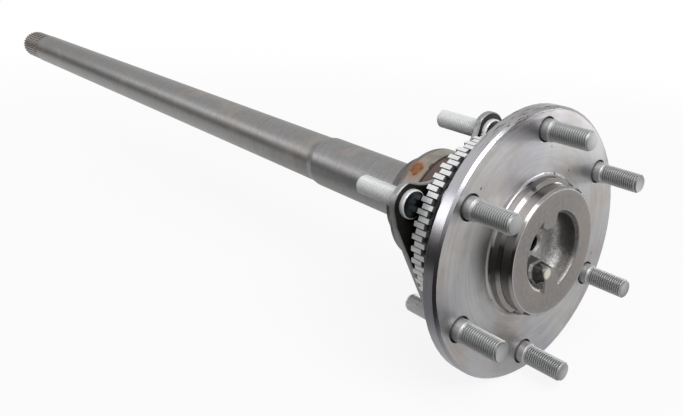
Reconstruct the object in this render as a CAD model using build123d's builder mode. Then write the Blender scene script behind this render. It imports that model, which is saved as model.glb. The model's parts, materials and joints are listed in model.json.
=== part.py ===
"""A semi-floating rear axle shaft with its wheel bearing, tone ring and loose retainer plate.

Millimetres. The axle lies along Y, with the wheel side towards -Y and the splined end towards +Y.
The origin is on the centre line, in the face of the flange that the wheel bolts to. +Z is up.
A station is a distance along Y from that face. An angle is counted from +Z towards +X.
"""
import os
from math import atan, cos, radians, sin, sqrt, tan

from build123d import *

# Wheel studs
wheel_pcd = 139.7
wheel_stud_count = 6
wheel_stud_dia = 12.0
wheel_stud_reach = 30.5
wheel_stud_collar_dia = 13.2
wheel_stud_collar_reach = 4.6
wheel_stud_head_dia = 19.0
wheel_stud_head_height = 4.2
stud_head_bevel = 0.8
stud_point = 0.9
stud_hole_mouth_dia = 14.9
stud_hole_mouth_depth = 3.2

# Flange
flange_rim_margin = 13.35
flange_thickness = 9.2
flange_front_chamfer = 1.5
flange_back_chamfer = 0.8

# Nose: the stepped boss that centres the brake drum and the wheel
nose_height = 14.4
nose_root_radius = 2.3
drum_pilot_dia = 83.2
drum_pilot_reach = 5.4
pilot_step_lead = 1.8
wheel_pilot_dia = 78.6
pilot_ledge = 0.4
nose_edge_chamfer = 1.4

# Pocket forged into the nose, with two drive lugs and a turning centre
pocket_dia = 46.6
pocket_depth = 14.4
pocket_floor_radius = 8.0
pocket_rim_radius = 1.8
lug_draft = 7.0
lug_root_depth = 3.0
lug_corner_radius = 1.2
lug_edge_radius = 0.7
centre_hole_dia = 8.4
centre_hole_depth = 13.0
centre_hole_mouth_dia = 11.6
centre_angle = 60.0

# Hub behind the flange, which carries the tone ring on a seat behind a shoulder
ring_seat_dia = 99.0
hub_shoulder_height = 2.5
hub_shoulder_station = 34.2
hub_root_radius = 4.0
hub_face_inset = 0.5
seal_land_dia = 50.0
land_root_radius = 3.0

# Tone ring
ring_wall = 4.8
tooth_count = 48
tooth_length = 8.0
tooth_stagger = 2.5
tooth_height = 3.4
tooth_gap = 0.8

# Shaft
seat_dia = 38.0
seat_end_station = 196.0
body_dia_wheel_end = 35.5
body_dia_spline_end = 32.8
shaft_step_length = 7.0
shaft_end_station = 822.0
shaft_end_chamfer = 1.2
end_centre_dia = 4.0
end_centre_mouth_dia = 8.0
end_centre_depth = 9.0

# Splines: the hob cuts a tapered groove and leaves it on a round run-out
spline_length = 39.0
spline_count = 30
spline_major_dia = 31.8
spline_depth = 1.3
spline_floor_width = 1.1
spline_mouth_width = 2.1
spline_lead = 4.0
hob_exit_length = 9.0
hob_exit_rise = 2.6

# Wheel bearing, outer side
bearing_face_station = 54.8
seal_case_length = 14.6
seal_case_dia = 76.0
seal_case_wall = 4.5
outer_seal_depth = 6.4
outer_seal_inset = 0.8
seal_stop_height = 2.5
seal_stop_thickness = 1.6
cup_step = 0.5
cup_wall = 5.9
cup_length = 17.0
cup_shoulder_radius = 3.0
edge_chamfer = 0.6
inner_seal_wall = 4.5
inner_seal_depth = 3.4
inner_seal_width = 2.8
seal_gap = 0.1
joint_gap = 1.6
sealing_ring_height = 1.5
sealing_ring_depth = 1.2
sealing_ring_gap = 0.05
key_width = 4.0
key_height = 1.1
key_inset = 0.1
key_reach = 1.5
key_gap = 0.1
key_angle = -29.8

# Wheel bearing, turning side: the ribs lie a little inside the rollers' pitch circle
cone_shoulder_station = 62.5
cone_length = 26.0
large_rib_inset = 0.8
small_rib_inset = 2.3
roller_count = 20
roller_mid_dia = 6.6
roller_length = 10.6
roller_slant = 12.0
roller_inset = 7.0
running_gap = 0.15
rib_gap = 0.3
cage_thickness = 1.2
cage_lift = 0.9
cage_border = 1.1
cage_gap = 0.3
collar_dia = 57.0
collar_length = 12.0
collar_chamfer = 1.0
press_gap = 0.02

# Retainer plate: it hangs on the seal land by its bore until it is bolted up
retainer_thickness = 4.0
retainer_face_station = 48.4
retainer_half_width = 51.2
retainer_side_length = 89.6
retainer_stud_x = 36.7
retainer_stud_z = 52.4
retainer_lobe_radius = 12.8
retainer_waist_radius = 40.8
retainer_waist_depth = 16.0
retainer_waist_corner = 5.0
retainer_angle = -27.6
retainer_drop = 7.4
retainer_hang_gap = 0.3
retainer_edge_bevel = 0.9

# Retainer studs
retainer_stud_dia = 12.0
retainer_stud_reach = 38.6
retainer_knurl_dia = 12.8
retainer_knurl_reach = 3.0
retainer_head_dia = 17.6
retainer_head_height = 3.2
retainer_head_bevel = 0.8

# What is cut away starts this far outside the metal
overcut = 1.0

# Worked out from the sizes above: radii
flange_r = wheel_pcd / 2 + flange_rim_margin
drum_pilot_r = drum_pilot_dia / 2
wheel_pilot_r = wheel_pilot_dia / 2
pocket_r = pocket_dia / 2
ring_seat_r = ring_seat_dia / 2
hub_r = ring_seat_r + hub_shoulder_height
tooth_root_r = ring_seat_r + ring_wall
tone_r = tooth_root_r + tooth_height
land_r = seal_land_dia / 2
seat_r = seat_dia / 2
seat_bore_r = seat_r + press_gap
spline_r = spline_major_dia / 2
spline_floor_r = spline_r - spline_depth
case_r = seal_case_dia / 2
seal_bore_r = case_r - seal_case_wall
seal_stop_r = seal_bore_r - seal_stop_height
cup_r = case_r - cup_step
inner_seal_r = cup_r - inner_seal_wall
pitch_r = cup_r - cup_wall - roller_mid_dia / 2
large_rib_r = pitch_r - large_rib_inset
small_rib_r = pitch_r - small_rib_inset
collar_r = collar_dia / 2
retainer_bore_r = land_r + retainer_drop + retainer_hang_gap

# Worked out from the sizes above: stations
floor_station = pocket_depth - nose_height
step_station = -drum_pilot_reach - pilot_step_lead
ring_end = hub_shoulder_station + tooth_length + tooth_stagger
hub_face_station = ring_end - hub_face_inset
spline_start = shaft_end_station - spline_length
outer_seal_end = bearing_face_station + outer_seal_depth
seal_stop_end = outer_seal_end + seal_stop_thickness
joint_station = bearing_face_station + seal_case_length
cup_start = joint_station + joint_gap
cup_end = cup_start + cup_length
inner_seal_start = cup_end - inner_seal_depth
cone_end = cone_shoulder_station + cone_length
collar_end = cone_end + collar_length

# Worked out from the sizes above: the tapered rollers and their common apex
slant = radians(roller_slant)
roller_station = cup_start + roller_inset
apex_distance = pitch_r / sin(slant)
apex_station = roller_station + pitch_r / tan(slant)
roller_taper = atan(roller_mid_dia / 2 / apex_distance)
large_end_r = (apex_distance + roller_length / 2) * tan(roller_taper)
small_end_r = (apex_distance - roller_length / 2) * tan(roller_taper)
roller_half_span = roller_length / 2 * cos(slant)
large_rib_station = roller_station - roller_half_span - large_end_r * sin(slant) - rib_gap
small_rib_station = roller_station + roller_half_span + small_end_r * sin(slant) + rib_gap

os.makedirs("parts", exist_ok=True)


def across(station):
    """The plane square to the axle at a station, seen from the wheel side: X right, Z up."""
    return Plane.XZ.offset(-station)


def turned(*outline):
    """A piece turned about the axle from an outline of (radius, station) corners."""
    with BuildPart() as piece:
        with BuildSketch(Plane.XY):
            with BuildLine():
                Polyline(*outline, close=True)
            make_face()
        revolve(axis=Axis.Y)
    return piece.part


def around_axle(count):
    """The places that repeat a piece evenly about the axle."""
    return [Location((0, 0, 0), (0, 360 * place / count, 0)) for place in range(count)]


def cup_race_r(station):
    """Radius of the cup's raceway at a station."""
    return (apex_station - station) * tan(slant + roller_taper) + running_gap


def cone_race_r(station):
    """Radius of the cone's raceway at a station."""
    return (apex_station - station) * tan(slant - roller_taper) - running_gap


def save(part, name):
    """Label a finished piece and write its STEP file."""
    part.label = name
    export_step(part, f"parts/{name}.step")


# Drive lugs that stand in the pocket: drafted, rounded, and rooted in its wall
lug_root = pocket_r + pocket_rim_radius + lug_root_depth
upper_lug = [
    (-13.4, lug_root),
    (-13.4, 17.8),
    (-9.6, 15.4),
    (-5.0, 15.4),
    (-1.4, 17.6),
    (-0.6, 21.0),
    (0.8, lug_root),
]
lower_lug = [
    (9.0, -lug_root),
    (7.4, -18.4),
    (4.2, -12.4),
    (-4.4, -8.4),
    (-8.4, -10.0),
    (-5.6, -16.0),
    (-4.8, -lug_root),
]
with BuildPart() as drive_lugs:
    with BuildSketch(across(-nose_height)) as lug_outlines:
        for outline in (upper_lug, lower_lug):
            with BuildLine():
                Polyline(*outline, close=True)
            make_face()
        fillet(lug_outlines.vertices(), lug_corner_radius)
    extrude(amount=-pocket_depth - lug_edge_radius, taper=-lug_draft)
    fillet(drive_lugs.edges().group_by(Axis.Y)[0], lug_edge_radius)

# Axle shaft: nose, flange, hub, shaft and splines are one forging
with BuildPart() as axle_blank:
    with BuildSketch(Plane.XY) as axle_section:
        with BuildLine():
            Polyline(
                (0, -nose_height),
                (wheel_pilot_r - nose_edge_chamfer, -nose_height),
                (wheel_pilot_r, -nose_height + nose_edge_chamfer),
                (wheel_pilot_r, step_station),
                (wheel_pilot_r + pilot_ledge, step_station),
                (drum_pilot_r, -drum_pilot_reach),
                (drum_pilot_r, 0),
                (flange_r - flange_front_chamfer, 0),
                (flange_r, flange_front_chamfer),
                (flange_r, flange_thickness - flange_back_chamfer),
                (flange_r - flange_back_chamfer, flange_thickness),
                (hub_r, flange_thickness),
                (hub_r, hub_shoulder_station),
                (ring_seat_r, hub_shoulder_station),
                (ring_seat_r, hub_face_station),
                (land_r, hub_face_station),
                (land_r, cone_shoulder_station),
                (seat_r, cone_shoulder_station),
                (seat_r, seat_end_station),
                (body_dia_wheel_end / 2, seat_end_station + shaft_step_length),
                (body_dia_spline_end / 2, spline_start - spline_lead),
                (spline_r, spline_start),
                (spline_r, shaft_end_station - shaft_end_chamfer),
                (spline_r - shaft_end_chamfer, shaft_end_station),
                (0, shaft_end_station),
                close=True,
            )
        make_face()
        corners = axle_section.vertices()
        fillet(corners.sort_by_distance((drum_pilot_r, 0))[0], nose_root_radius)
        fillet(corners.sort_by_distance((hub_r, flange_thickness))[0], hub_root_radius)
        fillet(corners.sort_by_distance((land_r, hub_face_station))[0], land_root_radius)
    revolve(axis=Axis.Y)

    # Pocket: a straight wall with a rounded rim, running into a bowl-shaped floor
    with BuildSketch(Plane.XY) as pocket_section:
        with BuildLine():
            wall = Line((pocket_r, -nose_height + pocket_rim_radius), (pocket_r, floor_station))
            rim = RadiusArc(
                (pocket_r + pocket_rim_radius, -nose_height),
                wall @ 0,
                -pocket_rim_radius,
            )
            Polyline(
                wall @ 1,
                (0, floor_station),
                (0, -nose_height - overcut),
                (pocket_r + pocket_rim_radius, -nose_height - overcut),
                rim @ 0,
            )
        make_face()
        corners = pocket_section.vertices()
        fillet(corners.sort_by_distance((pocket_r, floor_station))[0], pocket_floor_radius)
    revolve(axis=Axis.Y, mode=Mode.SUBTRACT)
    add(drive_lugs.part)

    # Turning centres, in the floor of the pocket and in the splined end
    with Locations(across(floor_station)):
        CounterSinkHole(
            radius=centre_hole_dia / 2,
            counter_sink_radius=centre_hole_mouth_dia / 2,
            depth=centre_hole_depth,
            counter_sink_angle=centre_angle,
        )
    with Locations(Plane(origin=(0, shaft_end_station, 0), z_dir=(0, 1, 0))):
        CounterSinkHole(
            radius=end_centre_dia / 2,
            counter_sink_radius=end_centre_mouth_dia / 2,
            depth=end_centre_depth,
            counter_sink_angle=centre_angle,
        )

    # Stud holes, each with a wider mouth round the stud's collar
    with BuildSketch(across(0)):
        with PolarLocations(wheel_pcd / 2, wheel_stud_count, start_angle=90):
            Circle(wheel_stud_collar_dia / 2 + press_gap)
    extrude(amount=-flange_thickness, mode=Mode.SUBTRACT)
    with BuildSketch(across(0)):
        with PolarLocations(wheel_pcd / 2, wheel_stud_count, start_angle=90):
            Circle(stud_hole_mouth_dia / 2)
    extrude(amount=-stud_hole_mouth_depth, mode=Mode.SUBTRACT)

# One hobbed groove: its section is swept along the shaft and out on the hob's arc
with BuildPart() as spline_groove:
    with BuildLine(Plane.XY) as hob_path:
        pass_line = Line((spline_floor_r, shaft_end_station + overcut), (spline_floor_r, spline_start))
        TangentArc(
            pass_line @ 1,
            (spline_floor_r + hob_exit_rise, spline_start - hob_exit_length),
            tangent=pass_line % 1,
        )
    with BuildSketch(Plane(origin=pass_line @ 0, x_dir=(0, 0, 1), z_dir=pass_line % 0)):
        flank = (spline_mouth_width - spline_floor_width) / 2 / spline_depth
        cutter_height = 2 * spline_depth
        cutter_width = spline_floor_width + 2 * flank * cutter_height
        Polygon(
            (-spline_floor_width / 2, 0),
            (spline_floor_width / 2, 0),
            (cutter_width / 2, -cutter_height),
            (-cutter_width / 2, -cutter_height),
            align=None,
        )
    sweep()

with BuildPart() as axle_shaft:
    add(axle_blank.part)
    with Locations(*around_axle(spline_count)):
        add(spline_groove.part, mode=Mode.SUBTRACT)
save(axle_shaft.part, "axle_shaft")

# Wheel studs: the head seats behind the flange, and the collar fills the stud hole
stud_collar_r = wheel_stud_collar_dia / 2
stud_r = wheel_stud_dia / 2
stud_head_r = wheel_stud_head_dia / 2
stud_head_end = flange_thickness + wheel_stud_head_height
wheel_stud = turned(
    (0, stud_head_end),
    (stud_head_r - stud_head_bevel, stud_head_end),
    (stud_head_r, stud_head_end - stud_head_bevel),
    (stud_head_r, flange_thickness),
    (stud_collar_r, flange_thickness),
    (stud_collar_r, -wheel_stud_collar_reach),
    (stud_r, -wheel_stud_collar_reach - (stud_collar_r - stud_r)),
    (stud_r, -wheel_stud_reach + stud_point),
    (stud_r - stud_point, -wheel_stud_reach),
    (0, -wheel_stud_reach),
)
for number in range(wheel_stud_count):
    angle = radians(360 * number / wheel_stud_count)
    with BuildPart() as placed_stud:
        with Locations((wheel_pcd / 2 * sin(angle), 0, wheel_pcd / 2 * cos(angle))):
            add(wheel_stud)
    save(placed_stud.part, f"wheel_stud_{number + 1}")

# Tone ring: two rows of teeth, each a tooth long, with the second row staggered half a pitch
half_pitch = 180 / tooth_count
root_width = 2 * tooth_root_r * sin(radians(half_pitch / 2))
crest_width = 2 * tone_r * sin(radians(half_pitch / 2)) - tooth_gap
tooth_foot_r = (ring_seat_r + tooth_root_r) / 2
with BuildPart() as tone_ring:
    add(
        turned(
            (ring_seat_r + press_gap, hub_shoulder_station),
            (tooth_root_r, hub_shoulder_station),
            (tooth_root_r, ring_end),
            (ring_seat_r + press_gap, ring_end),
        )
    )
    for row in range(2):
        with BuildSketch(across(hub_shoulder_station + row * tooth_stagger)):
            with PolarLocations(0, tooth_count, start_angle=row * half_pitch):
                Polygon(
                    (tooth_foot_r, -root_width / 2),
                    (tooth_root_r, -root_width / 2),
                    (tone_r, -crest_width / 2),
                    (tone_r, crest_width / 2),
                    (tooth_root_r, root_width / 2),
                    (tooth_foot_r, root_width / 2),
                    align=None,
                )
        extrude(amount=-tooth_length)
save(tone_ring.part, "tone_ring")

# Seal case: the outboard half of the bearing's outer side, with a key that locks it to the cup
with BuildPart() as seal_case:
    add(
        turned(
            (seal_bore_r, bearing_face_station),
            (case_r - edge_chamfer, bearing_face_station),
            (case_r, bearing_face_station + edge_chamfer),
            (case_r, joint_station),
            (seal_bore_r, joint_station),
            (seal_bore_r, seal_stop_end),
            (seal_stop_r, seal_stop_end),
            (seal_stop_r, outer_seal_end),
            (seal_bore_r, outer_seal_end),
        )
    )
    with BuildSketch(across(joint_station)):
        with Locations(Rotation(0, 0, -key_angle)):
            with Locations((0, cup_r - key_inset)):
                Rectangle(key_width, key_height, align=(Align.CENTER, Align.MAX))
    extrude(amount=-joint_gap - key_reach)
save(seal_case.part, "seal_case")

# Outer seal: it runs on the land of the axle
outer_seal = turned(
    (land_r + seal_gap, bearing_face_station + outer_seal_inset),
    (seal_bore_r - press_gap, bearing_face_station + outer_seal_inset),
    (seal_bore_r - press_gap, outer_seal_end),
    (land_r + seal_gap, outer_seal_end),
)
save(outer_seal, "outer_seal")

# Square sealing ring in the slit between the case and the cup
sealing_ring_r = cup_r - sealing_ring_depth
sealing_ring = turned(
    (sealing_ring_r - sealing_ring_height, joint_station + sealing_ring_gap),
    (sealing_ring_r, joint_station + sealing_ring_gap),
    (sealing_ring_r, cup_start - sealing_ring_gap),
    (sealing_ring_r - sealing_ring_height, cup_start - sealing_ring_gap),
)
save(sealing_ring, "sealing_ring")

# Bearing cup: the raceway outside the rollers, with a notch for the key of the seal case
with BuildPart() as bearing_cup:
    with BuildSketch(Plane.XY) as cup_section:
        with BuildLine():
            Polyline(
                (cup_race_r(cup_start), cup_start),
                (cup_r - edge_chamfer, cup_start),
                (cup_r, cup_start + edge_chamfer),
                (cup_r, cup_end),
                (inner_seal_r, cup_end),
                (inner_seal_r, inner_seal_start),
                (cup_race_r(inner_seal_start), inner_seal_start),
                close=True,
            )
        make_face()
        fillet(cup_section.vertices().sort_by_distance((cup_r, cup_end))[0], cup_shoulder_radius)
    revolve(axis=Axis.Y)
    with BuildSketch(across(cup_start)):
        with Locations(Rotation(0, 0, -key_angle)):
            with Locations((0, cup_r - key_inset - key_height - key_gap)):
                Rectangle(
                    key_width + 2 * key_gap,
                    key_height + key_gap + overcut,
                    align=(Align.CENTER, Align.MIN),
                )
    extrude(amount=-key_reach - key_gap, mode=Mode.SUBTRACT)
save(bearing_cup.part, "bearing_cup")

# Inner seal: it runs on the small rib of the cone
inner_seal = turned(
    (small_rib_r + seal_gap, inner_seal_start),
    (inner_seal_r - press_gap, inner_seal_start),
    (inner_seal_r - press_gap, inner_seal_start + inner_seal_width),
    (small_rib_r + seal_gap, inner_seal_start + inner_seal_width),
)
save(inner_seal, "inner_seal")

# Bearing cone: the raceway inside the rollers, between a large and a small rib
bearing_cone = turned(
    (seat_bore_r, cone_shoulder_station),
    (large_rib_r - edge_chamfer, cone_shoulder_station),
    (large_rib_r, cone_shoulder_station + edge_chamfer),
    (large_rib_r, large_rib_station),
    (cone_race_r(large_rib_station), large_rib_station),
    (cone_race_r(small_rib_station), small_rib_station),
    (small_rib_r, small_rib_station),
    (small_rib_r, cone_end),
    (seat_bore_r, cone_end),
)
save(bearing_cone, "bearing_cone")

# Tapered rollers: each lies on a slant axis with its large end outboard
roller_frame = Plane(
    origin=(pitch_r, roller_station, 0),
    x_dir=(sin(slant), -cos(slant), 0),
    z_dir=(0, 0, 1),
)
with BuildPart() as roller:
    with BuildSketch(roller_frame):
        with BuildLine():
            Polyline(
                (-roller_length / 2, 0),
                (roller_length / 2, 0),
                (roller_length / 2, large_end_r),
                (-roller_length / 2, small_end_r),
                close=True,
            )
        make_face()
    revolve(axis=Axis(roller_frame.origin, roller_frame.x_dir))

with BuildPart() as bearing_rollers:
    with Locations(*around_axle(roller_count)):
        add(roller.part)
save(bearing_rollers.part, "bearing_rollers")

# Roller cage: a thin cone with one tapered window for each roller
cage_r = pitch_r + cage_lift
cage_half_length = (roller_length / 2 + cage_border) * cos(slant)
cage_start = roller_station - cage_half_length
cage_stop = roller_station + cage_half_length
cage_flare = cage_half_length * tan(slant)
cage_half_wall = cage_thickness / 2 / cos(slant)
window_frame = Plane(
    origin=roller_frame.origin,
    x_dir=(0, 0, 1),
    z_dir=(cos(slant), sin(slant), 0),
)
with BuildPart() as cage_window:
    with BuildSketch(window_frame):
        with BuildLine():
            Polyline(
                (-small_end_r - cage_gap, -roller_length / 2 - cage_gap),
                (small_end_r + cage_gap, -roller_length / 2 - cage_gap),
                (large_end_r + cage_gap, roller_length / 2 + cage_gap),
                (-large_end_r - cage_gap, roller_length / 2 + cage_gap),
                close=True,
            )
        make_face()
    extrude(amount=roller_mid_dia / 2, both=True)

with BuildPart() as roller_cage:
    add(
        turned(
            (cage_r + cage_flare - cage_half_wall, cage_start),
            (cage_r + cage_flare + cage_half_wall, cage_start),
            (cage_r - cage_flare + cage_half_wall, cage_stop),
            (cage_r - cage_flare - cage_half_wall, cage_stop),
        )
    )
    with Locations(*around_axle(roller_count)):
        add(cage_window.part, mode=Mode.SUBTRACT)
save(roller_cage.part, "roller_cage")

# Lock collar: pressed on behind the cone
lock_collar = turned(
    (seat_bore_r, cone_end),
    (collar_r - collar_chamfer, cone_end),
    (collar_r, cone_end + collar_chamfer),
    (collar_r, collar_end - collar_chamfer),
    (collar_r - collar_chamfer, collar_end),
    (seat_bore_r + collar_chamfer, collar_end),
    (seat_bore_r, collar_end - collar_chamfer),
)
save(lock_collar, "lock_collar")

# Retainer plate: four lobes round the studs, waisted between the upper and between the lower two
turn = radians(-retainer_angle)
retainer_frame = Plane(
    origin=(0, retainer_face_station, -retainer_drop),
    x_dir=(cos(turn), 0, sin(turn)),
    z_dir=(0, -1, 0),
)
lobe_top = retainer_stud_z + retainer_lobe_radius
waist_centre = lobe_top - retainer_waist_depth + retainer_waist_radius
waist_chord = sqrt(retainer_waist_radius**2 - (waist_centre - lobe_top) ** 2)
with BuildPart() as retainer_plate:
    with BuildSketch(retainer_frame) as plate_outline:
        Rectangle(2 * retainer_half_width, retainer_side_length)
        with GridLocations(2 * retainer_stud_x, 2 * retainer_stud_z, 2, 2):
            Circle(retainer_lobe_radius)
        make_hull()
        with GridLocations(0, 2 * waist_centre, 1, 2):
            Circle(retainer_waist_radius, mode=Mode.SUBTRACT)
        for x in (-waist_chord, waist_chord):
            for z in (-lobe_top, lobe_top):
                fillet(plate_outline.vertices().sort_by_distance((x, z))[0], retainer_waist_corner)
    extrude(amount=-retainer_thickness)
    front_rim = retainer_plate.faces().sort_by(Axis.Y)[0].outer_wire()
    chamfer(front_rim.edges(), retainer_edge_bevel)
    with BuildSketch(retainer_frame):
        Circle(retainer_bore_r)
        with GridLocations(2 * retainer_stud_x, 2 * retainer_stud_z, 2, 2):
            Circle(retainer_knurl_dia / 2 + press_gap)
    extrude(amount=-retainer_thickness, mode=Mode.SUBTRACT)
save(retainer_plate.part, "retainer_plate")

# Retainer studs: the head seats on the plate's outboard face, and the knurl grips its hole
retainer_stud_r = retainer_stud_dia / 2
knurl_r = retainer_knurl_dia / 2
retainer_head_r = retainer_head_dia / 2
retainer_head_start = retainer_face_station - retainer_head_height
retainer_back = retainer_face_station + retainer_thickness
retainer_stud_end = retainer_back + retainer_stud_reach
knurl_end = retainer_back + retainer_knurl_reach
retainer_stud = turned(
    (0, retainer_head_start),
    (retainer_head_r - retainer_head_bevel, retainer_head_start),
    (retainer_head_r, retainer_head_start + retainer_head_bevel),
    (retainer_head_r, retainer_face_station),
    (knurl_r, retainer_face_station),
    (knurl_r, knurl_end),
    (retainer_stud_r, knurl_end + knurl_r - retainer_stud_r),
    (retainer_stud_r, retainer_stud_end - stud_point),
    (retainer_stud_r - stud_point, retainer_stud_end),
    (0, retainer_stud_end),
)

stud_sides = [(-1, 1), (1, 1), (-1, -1), (1, -1)]
for number, (side_x, side_z) in enumerate(stud_sides, start=1):
    centre = retainer_frame.from_local_coords((side_x * retainer_stud_x, side_z * retainer_stud_z))
    with BuildPart() as placed_retainer_stud:
        with Locations((centre.X, 0, centre.Z)):
            add(retainer_stud)
    save(placed_retainer_stud.part, f"retainer_stud_{number}")
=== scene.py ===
"""The finish of a wheel axle shaft: turned and forged steel, rolled threads, zinc, rust and a pale studio.

Metres, in the frame of the solid model: the axle lies along Y with the wheel side towards -Y, and +Z is up.
The origin is on the centre line, in the face of the flange that the wheel bolts to.
"""
import json
from math import cos, pi, radians, sin, tau

import bmesh
import bpy
from bpy.props import FloatProperty, FloatVectorProperty, IntProperty, PointerProperty
from bpy.types import Operator, Panel, PropertyGroup
from mathutils import Matrix, Vector


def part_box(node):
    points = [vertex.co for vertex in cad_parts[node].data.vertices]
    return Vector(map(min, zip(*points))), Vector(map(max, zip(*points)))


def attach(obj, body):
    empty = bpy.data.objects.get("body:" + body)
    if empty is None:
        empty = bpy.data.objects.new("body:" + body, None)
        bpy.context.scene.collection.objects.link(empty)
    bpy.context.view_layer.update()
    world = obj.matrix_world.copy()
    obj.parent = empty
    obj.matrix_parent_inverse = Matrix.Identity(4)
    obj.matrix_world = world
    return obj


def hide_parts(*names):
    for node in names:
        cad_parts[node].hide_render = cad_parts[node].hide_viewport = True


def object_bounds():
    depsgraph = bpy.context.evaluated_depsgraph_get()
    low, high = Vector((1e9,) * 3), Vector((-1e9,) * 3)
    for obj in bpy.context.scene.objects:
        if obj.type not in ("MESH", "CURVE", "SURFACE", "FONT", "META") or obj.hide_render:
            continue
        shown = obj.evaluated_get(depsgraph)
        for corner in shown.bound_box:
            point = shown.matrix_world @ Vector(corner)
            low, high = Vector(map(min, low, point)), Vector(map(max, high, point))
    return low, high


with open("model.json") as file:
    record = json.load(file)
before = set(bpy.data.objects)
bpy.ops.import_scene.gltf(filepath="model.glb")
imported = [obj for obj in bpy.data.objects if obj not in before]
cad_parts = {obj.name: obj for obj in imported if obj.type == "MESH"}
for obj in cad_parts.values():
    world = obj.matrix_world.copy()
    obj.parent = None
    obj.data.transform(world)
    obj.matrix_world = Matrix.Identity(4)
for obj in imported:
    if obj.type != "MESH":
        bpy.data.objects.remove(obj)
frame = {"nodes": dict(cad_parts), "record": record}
solid_box = [list(corner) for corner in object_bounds()]

bl_info = {
    "name": "Axle Shaft Finish",
    "version": (1, 0, 0),
    "blender": (4, 5, 0),
    "location": "3D View > Sidebar > Axle",
    "description": "Dresses the solids of a wheel axle shaft with threads, metal finishes and a studio",
    "category": "Object",
}

MM = 0.001
WHITE = (1, 1, 1, 1)


# Where the parts of the forging lie, some of them read off the solid model


def mount(name):
    """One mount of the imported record."""
    return next(m for m in frame["record"]["mounts"] if m["name"] == name)


def pin_radius(name):
    """The radius of a pin mount, in metres."""
    return mount(name)["dims"]["r_mm"] * MM


def box_middle(node):
    """The middle of a solid's box."""
    low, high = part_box(node)
    return (low + high) / 2


AXLE_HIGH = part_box("axle_shaft")[1]
NOSE_FRONT = -14.4 * MM
NOSE_EDGE = pin_radius("wheel_pilot")
NOSE_FACE_EDGE = NOSE_EDGE - 1.5 * MM
DRUM_EDGE = pin_radius("drum_pilot")
FLANGE_EDGE = AXLE_HIGH.x
FLANGE_FACE_DEPTH = 2 * MM
FLANGE_BACK = 9.2 * MM
POCKET_EDGE = 25.1 * MM
CENTRE_MOUTH = 5.8 * MM
CENTRE_CHAMFER = 1.6 * MM
CENTRE_END = 20 * MM
HUB_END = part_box("tone_ring")[1].y
SHAFT_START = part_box("lock_collar")[1].y
NEAR_SHAFT_END = 300 * MM
SPLINE_START = AXLE_HIGH.y - 39 * MM
RING_STATIONS = [274 * MM, 450 * MM, 730 * MM]
RING_WIDTH = 2 * MM
RIM_TOP = 80 * MM
# The radius from which the painted shadow under the pocket's wall begins
POCKET_SHADOW_EDGE = 21 * MM
STUD_CIRCLE = mount("wheel_studs")["dims"]["pcd_mm"] / 2 * MM
STUD_HOLE_MOUTH = 7.8 * MM
WHEEL_STUDS = [f"wheel_stud_{number}" for number in range(1, 7)]
RETAINER_STUDS = [f"retainer_stud_{number}" for number in range(1, 5)]

# Turned sizes: a wheel stud's collar and head, a retainer stud's knurl and head, and the points of both
COLLAR_RADIUS = 6.6 * MM
COLLAR_END = -4.6 * MM
HEAD_BEVEL = 0.8 * MM
KNURL_RADIUS = 6.4 * MM
KNURL_LENGTH = 3.0 * MM
HEAD_ROUND = 1.2 * MM
POINT_BEVEL = 0.9 * MM

# How far each stud is turned past the one before, and the angle from which an edge is shaded as sharp
STUD_TURN = 2.4
SHARP_ANGLE = radians(28)

# The toothed ring's crest, and how far below it the painted shade of its sides and of its roots begins
TOOTH_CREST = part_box("tone_ring")[1].x
TOOTH_SIDE_SHADE = 0.4 * MM
TOOTH_ROOT_SHADE = 2.8 * MM

# Where the seal case and the bearing cup meet, where the cup's dark rear begins, and the spot of rust
SLIT = (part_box("sealing_ring")[0].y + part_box("sealing_ring")[1].y) / 2
CUP_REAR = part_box("bearing_cup")[1].y - 5 * MM
RUST_ANGLE = radians(-40)
RUST_SPOT = (37.5 * MM * sin(RUST_ANGLE), 79 * MM, 37.5 * MM * cos(RUST_ANGLE))
RUST_RADIUS = 4.2 * MM
RUST_STAIN_RADIUS = 7 * MM
RUST_RAGGEDNESS = 26 * MM

# The lower drive lug, in millimetres across and up: its crown's edge, its foot's ledge, and its middle
LUG_CROWN = [
    (5.4, -14.6),
    (4.0, -12.5),
    (-4.3, -8.8),
    (-7.8, -10.1),
    (-7.2, -12.2),
    (-5.7, -16.0),
    (-4.9, -20.5),
    (-4.8, -24.2),
]
LUG_LEDGE = [
    (6.6, -13.0),
    (4.4, -10.7),
    (-1.5, -7.1),
    (-10.7, -7.8),
    (-11.9, -11.8),
    (-10.7, -16.6),
    (-5.8, -21.6),
    (-2.5, -24.6),
]
LUG_MIDDLE = (-2.0, -16.0)

# Stations of the lug along the axle, in millimetres: its crown, its ledge point by point, and its base
CROWN_STATION = -13.9
LEDGE_STATIONS = [-6.4] * 6 + [-7.5, -12.0]
BASE_STATION = 0.5

# How far the lip above the ledge lies towards the crown, and how much wider than the ledge the base is
LIP_SHARE = 0.14
BASE_FLARE = 1.06

# The pale spot on the lug's tip, where along the axle its foot turns to forged skin, and how round its edges
# are
LUG_TIP = (-4.2 * MM, -14.4 * MM, -12.6 * MM)
LUG_TIP_RADIUS = 3.2 * MM
FOOT_LEDGE = -5.5 * MM
FOOT_BEVEL = 0.35 * MM

# The lamps: where each stands, what it faces, and how wide and high it is
LAMPS = {
    "key": ((-0.30, -0.70, 0.85), (0, 0.05, 0), (0.85, 0.6)),
    "strip": ((-0.65, 1.10, 0.30), (0, 0.30, 0), (0.7, 0.2)),
    "fill": ((1.15, -0.70, 0.02), (0, 0.05, 0), (0.6, 0.4)),
    "side": ((-0.90, 0.65, 0.38), (0, 0.05, 0), (0.3, 0.4)),
}

# The floor: how far it reaches, where it turns plain white, and its zones of painted light and shade across
# and along, for reflections
FLOOR_REACH = 4.0
FLOOR_FADE = 0.9
RIGHT_SIDE = -0.08
PATCH_SIDE = -0.27
PATCH_ENDS = (0.03, 0.33)
REAR_SIDE = -0.22
REAR_START = 0.36
DIM_BAND = (0.18, 0.32)
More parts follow.
